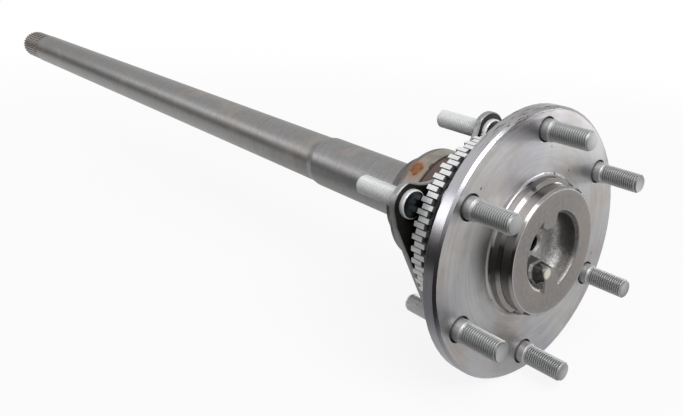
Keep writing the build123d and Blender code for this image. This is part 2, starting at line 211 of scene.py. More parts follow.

# The floor's colour in its zone of painted shade and to the camera, and the nearest distance that the camera
# shows
FLOOR_SHADE = (0.04, 0.04, 0.04)
FLOOR_SEEN = (0.9, 0.9, 0.9)
CAMERA_CLIP = 0.01

# The depth of a bump of height 1 in forged and stained steel, and the pitch of the rings on ground steel
SKIN_DEPTH = 0.1 * MM
GROUND_PITCH = 0.3 * MM

# The mesh attributes that hold the depth of a thread, and where an edge gets a painted highlight
GROOVE = "groove"
GLINT = "worn"


# Node trees, written as expressions


class Flow:
    """What flows out of a socket. Arithmetic on it adds Math nodes to the same tree."""

    def __init__(self, nodes, socket):
        self.nodes = nodes
        self.socket = socket

    def __add__(self, other):
        return self.nodes.maths("ADD", self, other)

    def __sub__(self, other):
        return self.nodes.maths("SUBTRACT", self, other)

    def __rsub__(self, other):
        return self.nodes.maths("SUBTRACT", other, self)

    def __mul__(self, other):
        return self.nodes.maths("MULTIPLY", self, other)

    def __truediv__(self, other):
        return self.nodes.maths("DIVIDE", self, other)

    def __pow__(self, other):
        return self.nodes.maths("POWER", self, other)

    __radd__ = __add__
    __rmul__ = __mul__

    def output(self, name):
        """Another output of the node that this flows from."""
        return Flow(self.nodes, self.socket.node.outputs[name])

    def above(self, edge, soft):
        """0 below an edge and 1 above it, blended over a soft width."""
        return self.nodes.add(
            "ShaderNodeMapRange",
            {"interpolation_type": "SMOOTHSTEP"},
            {0: self, 1: edge - soft / 2, 2: edge + soft / 2},
        )

    def within(self, low, high, soft):
        """1 between two edges and 0 outside them."""
        return self.above(low, soft) * (1 - self.above(high, soft))


class Nodes:
    """Adds nodes to one tree, of a material, of the world or of geometry."""

    def __init__(self, tree):
        self.tree = tree

    def add(self, kind, settings=None, values=None, output=0):
        """Add a node: its settings are made first, then its sockets are set or linked."""
        node = self.tree.nodes.new(kind)
        for name, setting in (settings or {}).items():
            setattr(node, name, setting)
        for key, value in (values or {}).items():
            if isinstance(value, Flow):
                self.tree.links.new(value.socket, node.inputs[key])
            else:
                node.inputs[key].default_value = value
        return Flow(self, node.outputs[output]) if len(node.outputs) else None

    def maths(self, operation, *values):
        """A Math node."""
        return self.add("ShaderNodeMath", {"operation": operation}, dict(enumerate(values)))

    def join(self, x, y, z):
        """A vector from three numbers."""
        return self.add("ShaderNodeCombineXYZ", None, {0: x, 1: y, 2: z})

    def mix(self, share, first, second):
        """A blend of two colours, given as links or as red, green and blue."""
        first, second = (c if isinstance(c, Flow) else (*c, 1.0) for c in (first, second))
        return self.add("ShaderNodeMix", {"data_type": "RGBA"}, {0: share, 6: first, 7: second}, output=2)

    def layers(self, colour, *coats):
        """A colour with further colours over it, each given as its share and itself."""
        for share, coat in coats:
            colour = self.mix(share, colour, coat)
        return colour


class Finish(Nodes):
    """One material: the patterns that feed its shader, and where a point lies on the axle."""

    def __init__(self, name, **constants):
        self.material = bpy.data.materials.new(name)
        self.material.use_nodes = True
        super().__init__(self.material.node_tree)
        self.tree.nodes.clear()
        shader = self.add("ShaderNodeBsdfPrincipled")
        self.shader = shader.socket.node
        self.add("ShaderNodeOutputMaterial", None, {"Surface": shader})
        self.place = self.add("ShaderNodeTexCoord", output="Object")
        self.x = self.add("ShaderNodeSeparateXYZ", None, {0: self.place})
        self.y = self.x.output("Y")
        self.z = self.x.output("Z")
        self.r = (self.x * self.x + self.z * self.z) ** 0.5
        for socket, value in constants.items():
            self.shader.inputs[socket.replace("_", " ").title()].default_value = value

    def feed(self, socket, flow):
        """Link a pattern to the shader."""
        self.tree.links.new(flow.socket, self.shader.inputs[socket])

    def noise(self, scale, detail, roughness=0.5, place=None):
        """Clouds or grain, from 0 to 1, with about this many per metre."""
        values = {"Vector": place or self.place, "Scale": scale, "Detail": detail, "Roughness": roughness}
        return self.add("ShaderNodeTexNoise", None, values)

    def turning(self, pitch, wander=2.0, detail=3.0):
        """Rings that a lathe tool leaves along the profile, which change slowly round the axle."""
        along = (self.r + self.y) / pitch
        place = self.join(along, self.x / self.r * wander, self.z / self.r * wander)
        return self.noise(1.0, detail, 0.6, place)

    def distance(self, spot):
        """How far a point lies from a spot."""
        values = {0: self.place, 1: spot}
        return self.add("ShaderNodeVectorMath", {"operation": "DISTANCE"}, values, output="Value")

    def rings(self, stations, width):
        """Narrow rings round the axle at these stations."""
        half, soft = width / 2, width * 0.4
        return sum(self.y.within(station - half, station + half, soft) for station in stations)

    def specks(self, scale, share, soft):
        """Scattered small marks that cover about this share of the surface."""
        return self.noise(scale, 1.0).above(1 - share, soft)

    def forged_skin(self):
        """The lumps and the fine grain that forging leaves."""
        return self.noise(420, 3, 0.6), self.noise(1500, 3, 0.65)

    def stored(self, attribute):
        """A number that is stored on the piece's mesh."""
        return self.add("ShaderNodeAttribute", {"attribute_name": attribute}, output="Fac")

    def bump(self, height, depth):
        """Raise the surface by a pattern, to a depth in metres."""
        self.feed("Normal", self.add("ShaderNodeBump", None, {"Height": height, "Distance": depth}))


def dress(node, material):
    """Give a solid of the frame its finish, in the slot that it has."""
    frame["nodes"][node].material_slots[0].material = material


# What a user would change


class AxleThreadSizes(PropertyGroup):
    """Sizes of the studs and their threads."""

    pitch: FloatProperty(
        name="Pitch",
        description="Distance between two turns of the thread",
        default=1.5 * MM,
        unit="LENGTH",
    )
    depth: FloatProperty(
        name="Depth",
        description="Depth of the thread, from crest to root",
        default=0.92 * MM,
        unit="LENGTH",
    )
    runout: FloatProperty(
        name="Run-out",
        description="Length over which the thread fades at its start",
        default=1.2 * MM,
        unit="LENGTH",
    )
    rows: IntProperty(name="Rows", description="Rows of faces in each turn of the thread", default=8, min=4)
    segments: IntProperty(name="Segments", description="Faces round a stud", default=40, min=12)


class AxleColours(PropertyGroup):
    """Colours of the finishes."""

    def colour(name, description, default):
        """One colour that a user may change."""
        return FloatVectorProperty(
            name=name, description=description, default=default, subtype="COLOR", size=3, min=0, max=1
        )

    turned: colour("Turned steel", "Machined faces of the flange and nose", (0.5, 0.495, 0.495))
    tint: colour("Heat tint", "Lavender tint on turned faces", (0.37, 0.37, 0.43))
    stain: colour("Stain", "Thin brown stain on turned faces", (0.40, 0.34, 0.29))
    forged: colour("Forged skin", "Grey-brown skin on the front of the nose", (0.27, 0.255, 0.245))
    pocket: colour("Pocket scale", "Dark scale in the pocket", (0.12, 0.12, 0.12))
    # This colour is also painted shade on the lug's flanks
    scale: colour("Lug scale", "Dark olive scale on the flanks of the lower lug", (0.05, 0.05, 0.042))
    # A pale spot on the lower lug's tip
    tip_spot: colour("Worn tip", "Pale tip of the lower lug", (0.74, 0.75, 0.66))
    # This colour is also painted shade: on the hub, in the stud holes and centre hole, in thread roots, on
    # the toothed ring, under the pocket's wall and in the slit
    oil_and_shade: colour("Oily dark", "Dark oily film in grooves and on the hub", (0.03, 0.03, 0.03))
    shaft: colour("Shaft steel", "Turned steel of the shaft", (0.29, 0.283, 0.275))
    spline: colour("Spline steel", "Brownish steel of the splined end", (0.37, 0.32, 0.285))
    phosphate: colour("Phosphate", "Matt grey coat of the wheel studs", (0.42, 0.43, 0.425))
    zinc: colour("Zinc", "Bright plating of the tone ring and retainer studs", (0.9, 0.91, 0.91))
    head: colour("Stud head", "Blue-grey face of a retainer stud's head", (0.10, 0.12, 0.14))
    plate: colour("Plate", "Black oxide with an olive cast", (0.022, 0.022, 0.018))
    cup: colour("Bearing cup", "Khaki-stained ground steel", (0.36, 0.33, 0.28))
    case: colour("Seal case", "Reddish-brown stained steel", (0.135, 0.088, 0.076))
    rust: colour("Rust", "Orange-brown rust", (0.36, 0.14, 0.04))
    collar: colour("Lock collar", "Dark heat-treated steel", (0.12, 0.12, 0.125))
    # This colour also makes the painted highlight along the ledge of the lug's foot
    ground: colour("Ground steel", "Bright steel of worn edges and of the bearing", (0.7, 0.7, 0.7))
    rubber: colour("Rubber", "Black seal rubber", (0.02, 0.02, 0.021))


class AxleStudio(PropertyGroup):
    """The camera, the lamps and the floor."""

    position: FloatVectorProperty(
        name="Camera",
        description="Where the camera stands",
        default=(-0.33967, -0.24087, 0.16416),
        subtype="XYZ",
    )
    aim: FloatVectorProperty(
        name="Aim",
        description="The point that the camera is aimed at",
        default=(0, 0.06195, 0.05981),
        subtype="XYZ",
    )
    roll: FloatProperty(
        name="Roll",
        description="Turn of the camera about its own axis",
        default=radians(4.98),
        subtype="ANGLE",
    )
    lens: FloatProperty(name="Lens", description="Focal length on a 36 mm wide sensor", default=39.29)
    shift: FloatVectorProperty(
        name="Shift",
        description="Shift of the view across and up",
        default=(-0.1828, -0.1240),
        size=2,
    )
    ambient: FloatProperty(name="Ambient", description="Strength of the light from all round", default=0.5)
    key: FloatProperty(name="Key", description="Power of the lamp above the wheel side", default=7.0)
    strip: FloatProperty(name="Strip", description="Power of the long lamp beside the shaft", default=1.0)
    fill: FloatProperty(name="Fill", description="Power of the low lamp that faces the flange", default=5.0)
    side: FloatProperty(
        name="Side",
        description="Power of the small lamp that glints on the rim",
        default=0.7,
    )
    floor: FloatVectorProperty(
        name="Floor",
        description="Colour of the floor",
        default=(0.6, 0.6, 0.6),
        subtype="COLOR",
        size=3,
    )
    whiteness: FloatProperty(
        name="Whiteness",
        description="How much of the floor that is seen is plain white",
        default=0.87,
        min=0,
        max=1,
    )
    mirrored: FloatProperty(
        name="Mirrored",
        description="How bright the horizon is where metal mirrors it",
        default=0.14,
        min=0,
        max=1,
    )


# Turned pieces and their threads


def add_object(name, data):
    """An object for a mesh, a lamp or a camera, set in the scene."""
    piece = bpy.data.objects.new(name, data)
    bpy.context.scene.collection.objects.link(piece)
    return piece


def closed_object(name, shape):
    """An object of a closed shape, with its faces pointing outwards."""
    bmesh.ops.recalc_face_normals(shape, faces=shape.faces)
    mesh = bpy.data.meshes.new(name)
    shape.to_mesh(mesh)
    shape.free()
    return add_object(name, mesh)


def steps(start, stop, step):
    """Evenly spaced stations from start to stop, no further apart than step."""
    count = max(1, round(abs(stop - start) / step))
    return [start + (stop - start) * number / count for number in range(count + 1)]


def head_round(radius, station, bend, count=5):
    """Points of the quarter round from a head's face out to its side, about (radius, station)."""
    angles = [-pi / 2 + pi / 2 * number / count for number in range(count + 1)]
    return [(radius + bend * cos(angle), station + bend * sin(angle)) for angle in angles]


def turned_object(name, outline, segments):
    """A closed object turned about Y from (radius, station) points, which start and end on the axis."""
    shape = bmesh.new()
    rings = []
    for radius, station in outline:
        around = segments if radius > 0 else 1
        angles = [tau * number / segments for number in range(around)]
        rings.append([shape.verts.new((radius * sin(a), station, radius * cos(a))) for a in angles])
    for ring, after in zip(rings, rings[1:]):
        for number in range(segments):
            following = (number + 1) % segments
            corners = [
                ring[number % len(ring)],
                ring[following % len(ring)],
                after[following % len(after)],
                after[number % len(after)],
            ]
            shape.faces.new(list(dict.fromkeys(corners)))
    return closed_object(name, shape)


def lofted_object(name, rings, edges):
    """A closed object through rings of points in millimetres, each ring marked as an edge with a painted
    highlight or not.
    """
    shape = bmesh.new()
    worn = shape.verts.layers.float.new(GLINT)
    loops = []
    for ring, edge in zip(rings, edges):
        loops.append([shape.verts.new(Vector(point) * MM) for point in ring])
        for vertex in loops[-1]:
            vertex[worn] = edge
    for ring, after in zip(loops, loops[1:]):
        for number, vertex in enumerate(ring):
            shape.faces.new((ring[number - 1], vertex, after[number], after[number - 1]))
    shape.faces.new(loops[0])
    shape.faces.new(loops[-1])
    return closed_object(name, shape)


def thread_tree():
    """Geometry Nodes that roll a thread on a plain stud and set the stud at each place."""
    tree = bpy.data.node_groups.new("rolled_thread", "GeometryNodeTree")
    sockets = {
        "Stud": "NodeSocketGeometry",
        "Places": "NodeSocketObject",
        "Pitch": "NodeSocketFloat",
        "Depth": "NodeSocketFloat",
        "Crest": "NodeSocketFloat",
        "Start": "NodeSocketFloat",
        "Way": "NodeSocketFloat",
        "Run-out": "NodeSocketFloat",
        "Turn": "NodeSocketFloat",
        "Finish": "NodeSocketMaterial",
    }
    for name, kind in sockets.items():
        tree.interface.new_socket(name, in_out="INPUT", socket_type=kind)
    tree.interface.new_socket("Studs", in_out="OUTPUT", socket_type="NodeSocketGeometry")
    nodes = Nodes(tree)
    stud = nodes.add("NodeGroupInput")
    pitch, depth, crest = (stud.output(name) for name in ("Pitch", "Depth", "Crest"))
    x = nodes.add("ShaderNodeSeparateXYZ", None, {0: nodes.add("GeometryNodeInputPosition")})
    y, z = x.output("Y"), x.output("Z")
    radius = (x * x + z * z) ** 0.5

    # One turn of the thread: 0 along its flat crest, rising to 1 along its flat root
    turn = nodes.maths("FRACT", y / pitch - nodes.maths("ARCTAN2", x, z) / tau)
    wave = nodes.maths("ABSOLUTE", turn * 2 - 1)
    crest_flat, flank = 0.125, 0.625
    cut = nodes.add("ShaderNodeClamp", None, {0: (wave - crest_flat) / flank})
    along = (y - stud.output("Start")) * stud.output("Way") / stud.output("Run-out")
    cut = cut * nodes.add("ShaderNodeClamp", None, {0: along})
    threaded = nodes.maths("MINIMUM", radius, crest - depth * cut)
    threaded = nodes.add(
        "GeometryNodeSwitch",
        {"input_type": "FLOAT"},
        {0: nodes.maths("GREATER_THAN", along, 0.0), 1: radius, 2: threaded},
    )
    marked = nodes.add(
        "GeometryNodeStoreNamedAttribute",
        {"data_type": "FLOAT", "domain": "POINT"},
        {"Geometry": stud, "Name": GROOVE, "Value": cut},
    )
    never_zero = 1e-9
    scale = threaded / nodes.maths("MAXIMUM", radius, never_zero)
    rolled = nodes.add(
        "GeometryNodeSetPosition", None, {"Geometry": marked, "Position": nodes.join(x * scale, y, z * scale)}
    )

    # A copy of the stud at each place, each turned a little further than the one before
    places = nodes.add("GeometryNodeObjectInfo", None, {"Object": stud.output("Places")})
    spin = nodes.join(0.0, nodes.add("GeometryNodeInputIndex") * stud.output("Turn"), 0.0)
    spin = nodes.add("FunctionNodeEulerToRotation", None, {0: spin})
    copies = nodes.add(
        "GeometryNodeInstanceOnPoints",
        None,
        {"Points": places.output("Geometry"), "Instance": rolled, "Rotation": spin},
    )
    real = nodes.add("GeometryNodeRealizeInstances", None, {0: copies})
    finish = {"Geometry": real, "Material": stud.output("Finish")}
    finished = nodes.add("GeometryNodeSetMaterial", None, finish)
    nodes.add("NodeGroupOutput", None, {0: finished})
    return tree


def set_studs(name, outline, solids, crest, start, way, material, sizes):
    """Turn one stud, roll its thread towards +Y or -Y as way says, and set a copy at each of the solids."""
    spots = bpy.data.meshes.new(f"{name}_places")
    spots.from_pydata([box_middle(solid) * Vector((1, 0, 1)) for solid in solids], [], [])
    places = add_object(f"{name}_places", spots)
    blank = turned_object(f"{name}_blank", outline, sizes.segments)
    thread = blank.modifiers.new("thread", "NODES")
    thread.node_group = bpy.data.node_groups.get("rolled_thread") or thread_tree()
    inputs = {
        "Places": places,
        "Pitch": sizes.pitch,
        "Depth": sizes.depth,
        "Crest": crest,
        "Start": start,
        "Way": way,
        "Run-out": sizes.runout,
        "Turn": STUD_TURN,
        "Finish": material,
    }
    for item in thread.node_group.interface.items_tree:
        if item.in_out == "INPUT" and item.name in inputs:
            thread[item.identifier] = inputs[item.name]
    evaluated = blank.evaluated_get(bpy.context.evaluated_depsgraph_get())
    mesh = bpy.data.meshes.new_from_object(evaluated)
    mesh.shade_smooth()
    mesh.set_sharp_from_angle(angle=SHARP_ANGLE)
    piece = add_object(name, mesh)
    for scrap in (blank, places):
        bpy.data.objects.remove(scrap)
    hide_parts(*solids)
    return piece


# Finishes


class ForgingFinish(Finish):
    """The axle's own steel: its zones, each from 0 to 1, and the patterns that they share."""

    def __init__(self):
        super().__init__("axle_steel")
        x, y, z, r = self.x, self.y, self.z, self.r
        front = 1 - y.above(FLANGE_FACE_DEPTH, 0.5 * MM)
        self.nose = front * (1 - r.above(NOSE_FACE_EDGE, 0.3 * MM))
        sunk = y.above(NOSE_FRONT + 0.7 * MM, 1.0 * MM)
        self.pocket = self.nose * (1 - r.above(POCKET_EDGE, 0.8 * MM)) * sunk
        self.step = front * r.within(NOSE_FACE_EDGE, DRUM_EDGE + 0.6 * MM, 0.3 * MM)
        self.face = front * r.above(DRUM_EDGE + 1 * MM, 1 * MM)
        self.rim = y.above(-1 * MM, 0.2 * MM) * r.above(FLANGE_EDGE - 2.0 * MM, 0.3 * MM)
        self.top = (z - x * 0.25).above(RIM_TOP, 8 * MM) * r.above(FLANGE_EDGE - 4.5 * MM, 2 * MM)
        self.hub = y.within(FLANGE_BACK + 0.6 * MM, HUB_END + 6 * MM, 1 * MM)
        self.shaft = y.above(SHAFT_START - 4 * MM, 2 * MM)
        self.near_shaft = self.shaft * (1 - y.above(NEAR_SHAFT_END, 80 * MM))
        self.spline = y.above(SPLINE_START + 1 * MM, 5 * MM)

        # Turning rings, broad bands of heat and stain along them, clouds, forged skin, pits and scuffs
        self.fine = self.turning(0.35 * MM)
        self.line = self.turning(1.3 * MM, wander=1.2, detail=1.0)
        self.band = self.turning(7 * MM, wander=2.6)
        self.ring = self.rings(RING_STATIONS, RING_WIDTH)
        self.warm = self.noise(30, 3, 0.6)
        self.cool = self.noise(22, 3, 0.6, self.join(x + 0.4, y, z))
        self.lump, self.grain = self.forged_skin()
        self.pit = self.specks(210, 0.28, 0.03) * self.specks(60, 0.42, 0.1)
        streaks = self.join(self.maths("ARCTAN2", z, x) * 9, r * 1500, y * 1300)
        self.scuff = self.noise(1.0, 2, 0.6, streaks).above(0.59, 0.05) * self.top

    def stud_hole_shade(self):
        """Painted shade in the mouths of the wheel studs' holes, worked out round the nearest stud."""
        share = tau / len(WHEEL_STUDS)
        place = self.maths("ARCTAN2", self.x, self.z) / share
        place = (place - self.maths("ROUND", place)) * share
        aside = self.r * self.maths("SINE", place)
        out = self.r * self.maths("COSINE", place) - STUD_CIRCLE
        mouth = 1 - ((aside * aside + out * out) ** 0.5).above(STUD_HOLE_MOUTH, 0.4 * MM)
        return mouth * self.y.within(-0.2 * MM, 4 * MM, 0.1 * MM)

    def turned_faces(self, colours):
        """Brown and lavender clouds and dark rings, duller along the top of the rim and on the steps."""
        return self.layers(
            colours.turned,
            (self.warm.above(0.55, 0.25) * 0.5, colours.stain),
            (self.cool.above(0.55, 0.25) * 0.45, colours.tint),
            (self.band.above(0.6, 0.3) * 0.16, colours.oil_and_shade),
            (self.line.above(0.55, 0.3) * 0.10, colours.oil_and_shade),
            (self.top * 0.5, colours.forged),
            (self.rim * (1 - self.top) * 0.45, colours.tint),
            (self.step * 0.9, colours.forged),
        )

    def shaft_body(self, colours):
        """Greyer than the faces, with rings that straightening and turning left, and brown splines."""
        return self.layers(
            colours.shaft,
            (self.cool.above(0.5, 0.4) * 0.15, colours.tint),
            (self.line.above(0.5, 0.4) * 0.14 + self.ring * 0.12, colours.oil_and_shade),
            (self.lump.above(0.5, 0.4) * 0.2, colours.pocket),
            (self.warm.above(0.62, 0.12) * 0.35, colours.stain),
            (self.spline * 0.7, colours.spline),
        )

    def nose_skin(self, colours):
        """Forged skin on the nose's face, brighter at its edge, and a pale spot on the lower lug's tip."""
        tip = 1 - self.distance(LUG_TIP).above(LUG_TIP_RADIUS, 1.6 * MM)
        return self.layers(
            colours.forged,
            (self.lump.above(0.5, 0.4) * 0.35, colours.pocket),
            (self.warm.above(0.5, 0.3) * 0.3, colours.stain),
            (self.r.above(NOSE_EDGE - 3 * MM, 5 * MM) * 0.2, colours.tint),
            (self.r.above(NOSE_EDGE - 2.2 * MM, 0.3 * MM) * 0.3, colours.ground),
            (tip * 0.8, colours.tip_spot),
        )

    def pocket_scale(self, colours):
        """Coarse grey scale in the pocket, with a black painted shadow under its wall on the right and above.
        """
        upper_right_shadow = (self.x * 0.85 + self.z * 0.5).above(14 * MM, 8 * MM)
        return self.layers(
            colours.forged,
            (self.grain.above(0.5, 0.5) * 0.9, colours.ground),
            (self.lump.above(0.5, 0.3) * 0.4, colours.pocket),
            # Painted shadow under the pocket's wall
            (upper_right_shadow * self.r.above(POCKET_SHADOW_EDGE, 2.5 * MM) * 0.8, colours.oil_and_shade),
        )


def forging_finish(colours):
    """The axle's own steel: turned on the flange and shaft, forged skin in the nose, painted shade on the
    hub.
    """
    steel = ForgingFinish()
    y, nose, pocket, shaft = steel.y, steel.nose, steel.pocket, steel.shaft
    fine, line, lump, grain = steel.fine, steel.line, steel.lump, steel.grain
    # Pits and scuffs, and the painted shade in the mouths of the stud holes
    marks_and_hole_shade = steel.pit * steel.face * 0.8 + steel.scuff * 0.85 + 0.95 * steel.stud_hole_shade()

    # The turning centre in the pocket's floor: a bright chamfer, and painted shade further in
    centre = (1 - steel.r.above(CENTRE_MOUTH, 0.3 * MM)) * (1 - y.above(CENTRE_END, 1 * MM))
    chamfer = centre * (1 - y.above(CENTRE_CHAMFER, 0.3 * MM))
    centre_hole_shade = centre * y.above(CENTRE_CHAMFER + 0.2 * MM, 0.4 * MM)
    colour = steel.layers(
        steel.turned_faces(colours),
        (shaft, steel.shaft_body(colours)),
        (nose, steel.nose_skin(colours)),
        (pocket * 0.9, steel.pocket_scale(colours)),
        (chamfer * 0.6, colours.ground),
        (centre_hole_shade, colours.oil_and_shade),
        # Painted shade on the hub, between the flange and the toothed ring
        (steel.hub * (0.75 + 0.2 * steel.warm), colours.oil_and_shade),
        (marks_and_hole_shade, colours.oil_and_shade),
    )
    steel.feed("Base Color", colour)
    steel.feed("Metallic", 1 - nose * 0.2 - steel.hub * 0.3)

    # The steps are the smoothest, and the shaft is the most even
    plain = 1 - steel.step
    rough = 0.16 + (0.12 - 0.10 * shaft) * fine + 0.05 * shaft + 0.10 * steel.warm - 0.18 * steel.rim
    rough = 0.13 + plain * rough + nose * 0.24 - pocket * 0.18 + steel.hub * 0.12 + steel.pit * 0.2
    steel.feed("Roughness", rough)

    # Tool rings on the turned faces, forged lumps in the nose, and dents at the marks and along the shaft
    near = steel.face * 0.08 + steel.near_shaft * 0.03
    lathe = fine * (0.10 - 0.08 * shaft) + line * (0.02 + near) + steel.band * 0.03 * steel.face
    turned = (1 - nose) * plain * lathe
    forged = nose * (lump * 0.7 + grain * 0.5) + pocket * (lump * 3.0 + grain * 0.6)
    steel.bump(turned + forged - marks_and_hole_shade * 0.6 - steel.ring * shaft * 0.4, SKIN_DEPTH)
    return steel.material


def foot_finish(colours):
    """Dark olive colour on the lug's flanks, part scale and part painted shade, with a painted highlight
    along the ledge of its foot.
    """
    scale = Finish("lug_scale", metallic=0.8)
    lump, grain = scale.forged_skin()
    # Painted highlight along the ledge of the foot
    edge = scale.stored(GLINT).above(0.93, 0.1)
    colour = scale.layers(
        colours.scale,
        (lump.above(0.5, 0.3) * 0.6, colours.pocket),
        (scale.y.above(FOOT_LEDGE, 1 * MM) * 0.6, colours.forged),
        (edge * 0.85, colours.ground),
    )
    scale.feed("Base Color", colour)
    scale.feed("Roughness", 0.42 + 0.15 * grain - edge * 0.15)
    scale.bump(lump * 1.2 + grain * 0.4, SKIN_DEPTH)
    return scale.material


def phosphate_finish(colours):
    """Matt grey phosphate, a little brighter on its fine crystals, with painted shade in the thread."""
    coat = Finish("stud_phosphate", metallic=0.75)
    crystal = coat.noise(2600, 3, 0.7)
    cloud = coat.noise(90, 2)
    colour = coat.layers(
        colours.phosphate,
        (crystal.above(0.5, 0.6) * 0.45, colours.ground),
        # Painted shade in the roots of the thread
        (coat.stored(GROOVE) * 0.55, colours.oil_and_shade),
    )
    coat.feed("Base Color", colour)
    coat.feed("Roughness", 0.42 + 0.16 * cloud)
    coat.bump(crystal, 0.02 * MM)
    return coat.material


def tooth_finish(colours):
    """Zinc on the toothed ring: clean on the crests of the teeth, with painted shade down their sides and at
    their roots.
    """
    zinc = Finish("ring_zinc", metallic=0.4)
    spangle = zinc.noise(700, 3, 0.6)
    cloud = zinc.noise(60, 2)
    # Painted shade down the sides of the teeth, and black painted shade between them at the roots
    side = 1 - zinc.r.above(TOOTH_CREST - TOOTH_SIDE_SHADE, 0.3 * MM)
    root = 1 - zinc.r.above(TOOTH_CREST - TOOTH_ROOT_SHADE, 2.0 * MM)
    colour = zinc.layers(
        colours.zinc,
        (spangle.above(0.5, 0.5) * 0.15, colours.tint),
        (side * 0.75, colours.oil_and_shade),
        (root * (0.85 + 0.15 * cloud), colours.oil_and_shade),
    )
    zinc.feed("Base Color", colour)
    zinc.feed("Roughness", 0.3 + 0.2 * spangle)
    zinc.bump(spangle, 0.05 * MM)
    return zinc.material


def retainer_stud_finish(colours):
    """Bright zinc on the thread and on the head's rim, with a dark head face that shines a little."""
    zinc = Finish("retainer_stud_zinc")
    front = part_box(RETAINER_STUDS[0])[0].y
    spangle = zinc.noise(1100, 3, 0.6)
    cloud = zinc.noise(70, 2)
    face = 1 - zinc.y.above(front + 0.12 * MM, 0.1 * MM)
    colour = zinc.layers(
        colours.zinc,
        (spangle.above(0.5, 0.3) * 0.1, colours.tint),
        # Painted shade in the roots of the thread
        (zinc.stored(GROOVE) * 0.3, colours.oil_and_shade),
        (face, zinc.mix(cloud, colours.head, colours.plate)),
    )
    zinc.feed("Base Color", colour)
    zinc.feed("Metallic", 0.2 + 0.8 * face)
    zinc.feed("Roughness", 0.22 + 0.16 * spangle)
    zinc.bump(spangle + cloud * 2, 0.03 * MM)
    return zinc.material


def plate_finish(colours):
    """Black oxide with an olive cast on the plate's faces, and bare grey metal on its sheared edge."""
    plate = Finish("plate_black", metallic=0.7)
    low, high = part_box("retainer_plate")
    grain = plate.noise(900, 3, 0.6)
    cloud = plate.noise(45, 3)
    edge = plate.y.within(low.y + 0.25 * MM, high.y - 0.05 * MM, 0.1 * MM)
    bare = plate.mix(grain.above(0.5, 0.4) * 0.5, colours.turned, colours.shaft)
    colour = plate.layers(
        colours.plate,
        (cloud.above(0.55, 0.3) * 0.15, colours.pocket),
        (edge * (0.55 + 0.3 * cloud), bare),
    )
    plate.feed("Base Color", colour)
    plate.feed("Roughness", 0.36 + 0.2 * grain)
    plate.bump(grain, 0.03 * MM)
    return plate.material


def stained_finish(colours, name, base, spot_share):
    """Bearing steel that has stained in its packing, with black painted shade along the slit, and one spot of
    orange rust.
    """
    steel = Finish(name, metallic=0.75)
    fine = steel.turning(GROUND_PITCH)
    cloud = steel.noise(75, 4, 0.6)
    grain = steel.noise(900, 3, 0.6)
    flake = steel.noise(520, 3, 0.7).above(0.52, 0.12)
    slit = steel.y.within(SLIT - 1.6 * MM, SLIT + 1.5 * MM, 0.5 * MM)
    ragged = steel.distance(RUST_SPOT) + (cloud - 0.5) * RUST_RAGGEDNESS
    spot = 1 - ragged.above(RUST_RADIUS, 2 * MM)
    stain = 1 - ragged.above(RUST_STAIN_RADIUS, 6 * MM)
    colour = steel.layers(
        base,
        (cloud.above(0.55, 0.25) * 0.45, colours.case),
        (fine.above(0.6, 0.3) * 0.3, colours.pocket),
        (steel.y.above(CUP_REAR, 2.5 * MM) * 0.8, colours.collar),
        (stain * 0.45 * spot_share, colours.rust),
        (spot * spot_share, steel.mix(flake, colours.rust, colours.case)),
        # Painted shade in the slit where the seal case meets the bearing cup
        (slit * 0.9, colours.oil_and_shade),
    )
    steel.feed("Base Color", colour)
    steel.feed("Roughness", 0.33 + 0.16 * cloud + spot * 0.3)
    steel.bump(fine * 0.1 + grain * spot * 1.2, SKIN_DEPTH)
    return steel.material


def ground_finish(colours, name, base, rough):
    """Steel turned or ground round the axle, with an oily film in its rings."""
    steel = Finish(name, metallic=1.0)
    fine = steel.turning(GROUND_PITCH)
    cloud = steel.noise(80, 3)
    colour = steel.layers(
        base,
        (fine.above(0.55, 0.4) * 0.35, colours.oil_and_shade),
        (cloud.above(0.6, 0.3) * 0.25, colours.stain),
    )
    steel.feed("Base Color", colour)
    steel.feed("Roughness", rough + 0.12 * fine + 0.08 * cloud)
    steel.bump(fine, 0.01 * MM)
    return steel.material


def rubber_finish(colours):
    """Matt black nitrile rubber with a faint moulded grain."""
    rubber = Finish("seal_rubber", metallic=0.0)
    grain = rubber.noise(1500, 2)
    rubber.feed("Base Color", rubber.mix(grain * 0.3, colours.rubber, colours.plate))
    rubber.feed("Roughness", 0.55 + 0.2 * grain)
    rubber.bump(grain, 0.02 * MM)
    return rubber.material


# One operator for each piece or group of like pieces


class AXLE_OT_forging(Operator):
    """Finish the axle shaft itself: nose, flange, hub, shaft and splines"""

    bl_idname = "axle.forging"
    bl_label = "Axle Shaft"

    def execute(self, context):
        dress("axle_shaft", forging_finish(context.scene.axle_colours))
        return {"FINISHED"}


class AXLE_OT_lug_foot(Operator):
    """Build the wide forged foot that the lower drive lug stands on in the pocket"""

    bl_idname = "axle.lug_foot"
    bl_label = "Lug Foot"

    def execute(self, context):
        crown = [(x, CROWN_STATION, z) for x, z in LUG_CROWN]
        ledge = [(x, y, z) for (x, z), y in zip(LUG_LEDGE, LEDGE_STATIONS)]
        lip = [
            [(1 - LIP_SHARE) * low + LIP_SHARE * high for low, high in zip(lower, upper)]
            for lower, upper in zip(ledge, crown)
        ]
        across, up = LUG_MIDDLE
        base = [
            (across + (x - across) * BASE_FLARE, BASE_STATION, up + (z - up) * BASE_FLARE)
            for x, _, z in ledge
        ]
        foot = lofted_object("lug_foot", [crown, lip, ledge, base], [0, 1, 1, 0])
        bevel = foot.modifiers.new("worn_edges", "BEVEL")
        bevel.width = FOOT_BEVEL
        bevel.segments = 2
        foot.data.materials.append(foot_finish(context.scene.axle_colours))
        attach(foot, "axle")
        return {"FINISHED"}


